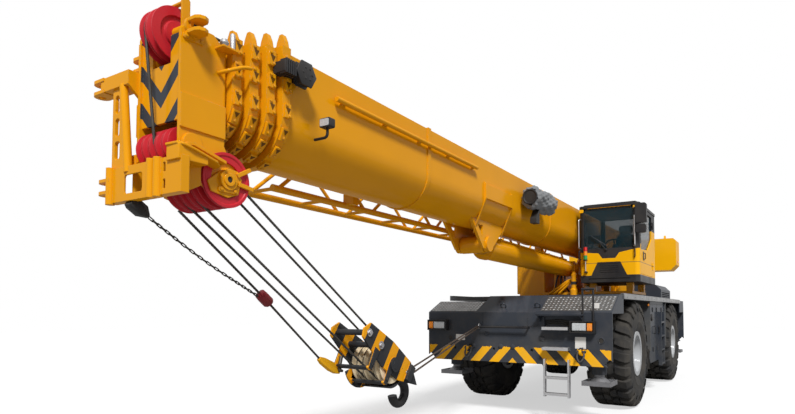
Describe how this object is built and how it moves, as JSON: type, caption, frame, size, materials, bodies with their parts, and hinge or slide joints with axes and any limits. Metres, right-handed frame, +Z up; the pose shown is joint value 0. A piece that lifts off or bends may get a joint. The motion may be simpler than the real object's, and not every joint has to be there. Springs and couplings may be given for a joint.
{
  "type": "rough terrain crane",
  "caption": "Rough-terrain mobile crane with steered axles, outriggers, a slewing cab and a telescopic boom with its hook block tied back under the head.",
  "frame": {"origin": "middle of the overall box on the ground", "axes": "+X forward along the boom, +Y to the crane's left, +Z up"},
  "size_m": [14.55, 3.31, 3.8351],
  "materials": {
    "carrier_grey": "dark slate grey paint",
    "deck_grey": "grey non-slip deck paint",
    "crane_yellow": "amber yellow paint",
    "black_plastic": "black plastic",
    "dark_metal": "dark cast metal",
    "tyre": "block-tread tyre",
    "rim_silver": "silver paint",
    "rod_chrome": "ground and plated rod",
    "step_aluminium": "serrated aluminium",
    "window_glass": "tinted glass",
    "seat_fabric": "dark seat cloth",
    "sheave_red": "red nylon sheave",
    "rope_steel": "greased wire rope",
    "steel": "bare steel"
  },
  "bodies": {
    "carrier": {"carrier_frame": "carrier_grey", "front_housing": "carrier_grey", "rear_housing": "carrier_grey", "deck": "deck_grey", "side_lockers": "carrier_grey", "engine_hood": "carrier_grey", "engine": "dark_metal", "front_axle": "dark_metal", "rear_axle": "dark_metal", "front_steps": "step_aluminium", "headlamps": "black_plastic", "slew_ring": "steel"},
    "superstructure": {"turntable": "crane_yellow", "counterweight": "crane_yellow", "winches": "dark_metal", "hydraulic_tank": "crane_yellow", "cab_base": "black_plastic", "cab_tub": "crane_yellow", "cab_frame": "black_plastic", "cab_glass": "window_glass", "cab_seat": "seat_fabric", "cab_mirror": "black_plastic"},
    "cab_door": {"cab_door": "crane_yellow", "door_glass": "window_glass"},
    "boom_base": {"boom_base": "crane_yellow", "stowed_jib": "crane_yellow", "cable_reel": "black_plastic"},
    "boom_2": {"boom_section_2": "crane_yellow"},
    "boom_3": {"boom_section_3": "crane_yellow"},
    "boom_4": {"boom_section_4": "crane_yellow"},
    "boom_5": {"boom_section_5": "crane_yellow", "head_sheaves": "sheave_red", "jib_bracket": "crane_yellow"},
    "lift_barrel": {"lift_barrel": "crane_yellow"},
    "lift_rod": {"lift_rod": "rod_chrome"},
    "hook": {"hook_block": "dark_metal", "hook_falls": "rope_steel"},
    "knuckle_fl": {"knuckle_fl": "dark_metal"},
    "wheel_fl": {"rim_fl": "rim_silver", "tyre_fl": "tyre"},
    "beam_fl": {"beam_fl": "carrier_grey"},
    "jack_fl": {"jack_fl": "steel"},
    "knuckle_fr": {"knuckle_fr": "dark_metal"},
    "wheel_fr": {"rim_fr": "rim_silver", "tyre_fr": "tyre"},
    "beam_fr": {"beam_fr": "carrier_grey"},
    "jack_fr": {"jack_fr": "steel"},
    "knuckle_rl": {"knuckle_rl": "dark_metal"},
    "wheel_rl": {"rim_rl": "rim_silver", "tyre_rl": "tyre"},
    "beam_rl": {"beam_rl": "carrier_grey"},
    "jack_rl": {"jack_rl": "steel"},
    "knuckle_rr": {"knuckle_rr": "dark_metal"},
    "wheel_rr": {"rim_rr": "rim_silver", "tyre_rr": "tyre"},
    "beam_rr": {"beam_rr": "carrier_grey"},
    "jack_rr": {"jack_rr": "steel"}
  },
  "joints": [
    {"name": "slew", "type": "hinge", "parent": "carrier", "child": "superstructure", "pos_m": [-2.98, 0, 2], "axis": [0, 0, 1], "continuous": true},
    {"name": "luff", "type": "hinge", "parent": "superstructure", "child": "boom_base", "pos_m": [-4.73, 0, 3.1501], "axis": [0, -1, 0], "range_deg": [-1, 80]},
    {"name": "telescope_2", "type": "slide", "parent": "boom_base", "child": "boom_2", "axis": [1, 0, 0], "range_m": [0, 8.3]},
    {"name": "telescope_3", "type": "slide", "parent": "boom_2", "child": "boom_3", "axis": [1, 0, 0], "range_m": [0, 8.3]},
    {"name": "telescope_4", "type": "slide", "parent": "boom_3", "child": "boom_4", "axis": [1, 0, 0], "range_m": [0, 8.3]},
    {"name": "telescope_5", "type": "slide", "parent": "boom_4", "child": "boom_5", "axis": [1, 0, 0], "range_m": [0, 8.3]},
    {"name": "lift_barrel_pivot", "type": "hinge", "parent": "superstructure", "child": "lift_barrel", "pos_m": [-1.78, 0, 2.5501], "axis": [0, -1, 0], "range_deg": [-1.42, 98.18]},
    {"name": "lift_rod_slide", "type": "slide", "parent": "lift_barrel", "child": "lift_rod", "axis": [0.9999, 0, 0.0142], "range_m": [-0.045, 3.4387]},
    {"name": "steer_fl", "type": "hinge", "parent": "carrier", "child": "knuckle_fl", "pos_m": [-0.83, 0.91, 0.93], "axis": [0, 0, 1], "range_deg": [-25, 25]},
    {"name": "wheel_spin_fl", "type": "hinge", "parent": "knuckle_fl", "child": "wheel_fl", "pos_m": [-0.83, 1.23, 0.93], "axis": [0, 1, 0], "continuous": true},
    {"name": "outrigger_beam_fl", "type": "slide", "parent": "carrier", "child": "beam_fl", "axis": [0, 1, 0], "range_m": [0, 1.95]},
    {"name": "outrigger_jack_fl", "type": "slide", "parent": "beam_fl", "child": "jack_fl", "axis": [0, 0, -1], "range_m": [0, 0.65]},
    {"name": "steer_fr", "type": "hinge", "parent": "carrier", "child": "knuckle_fr", "pos_m": [-0.83, -0.91, 0.93], "axis": [0, 0, 1], "range_deg": [-25, 25]},
    {"name": "wheel_spin_fr", "type": "hinge", "parent": "knuckle_fr", "child": "wheel_fr", "pos_m": [-0.83, -1.23, 0.93], "axis": [0, 1, 0], "continuous": true},
    {"name": "outrigger_beam_fr", "type": "slide", "parent": "carrier", "child": "beam_fr", "axis": [0, -1, 0], "range_m": [0, 1.95]},
    {"name": "outrigger_jack_fr", "type": "slide", "parent": "beam_fr", "child": "jack_fr", "axis": [0, 0, -1], "range_m": [0, 0.65]},
    {"name": "steer_rl", "type": "hinge", "parent": "carrier", "child": "knuckle_rl", "pos_m": [-5.13, 0.91, 0.93], "axis": [0, 0, 1], "range_deg": [-25, 25]},
    {"name": "wheel_spin_rl", "type": "hinge", "parent": "knuckle_rl", "child": "wheel_rl", "pos_m": [-5.13, 1.23, 0.93], "axis": [0, 1, 0], "continuous": true},
    {"name": "outrigger_beam_rl", "type": "slide", "parent": "carrier", "child": "beam_rl", "axis": [0, 1, 0], "range_m": [0, 1.95]},
    {"name": "outrigger_jack_rl", "type": "slide", "parent": "beam_rl", "child": "jack_rl", "axis": [0, 0, -1], "range_m": [0, 0.65]},
    {"name": "steer_rr", "type": "hinge", "parent": "carrier", "child": "knuckle_rr", "pos_m": [-5.13, -0.91, 0.93], "axis": [0, 0, 1], "range_deg": [-25, 25]},
    {"name": "wheel_spin_rr", "type": "hinge", "parent": "knuckle_rr", "child": "wheel_rr", "pos_m": [-5.13, -1.23, 0.93], "axis": [0, 1, 0], "continuous": true},
    {"name": "outrigger_beam_rr", "type": "slide", "parent": "carrier", "child": "beam_rr", "axis": [0, -1, 0], "range_m": [0, 1.95]},
    {"name": "outrigger_jack_rr", "type": "slide", "parent": "beam_rr", "child": "jack_rr", "axis": [0, 0, -1], "range_m": [0, 0.65]},
    {"name": "cab_door_hinge", "type": "hinge", "parent": "superstructure", "child": "cab_door", "pos_m": [-2.476, 1.566, 2.9], "axis": [0, 0, 1], "range_deg": [0, 90]},
    {"name": "hook_swing", "type": "hinge", "parent": "boom_5", "child": "hook", "pos_m": [6.81, 0, 2.6101], "axis": [0, 1, 0], "range_deg": [-15, 25]}
  ],
  "couplings": [
    {"joint": "telescope_3", "follows": "telescope_2", "ratio": 1},
    {"joint": "telescope_4", "follows": "telescope_2", "ratio": 1},
    {"joint": "telescope_5", "follows": "telescope_2", "ratio": 1},
    {"joint": "lift_barrel_pivot", "follows": "luff", "ratio": 1.2247},
    {"joint": "lift_rod_slide", "follows": "luff", "m_per_rad": 2.4614},
    {"joint": "steer_fr", "follows": "steer_fl", "ratio": 1},
    {"joint": "steer_rr", "follows": "steer_rl", "ratio": 1}
  ]
}
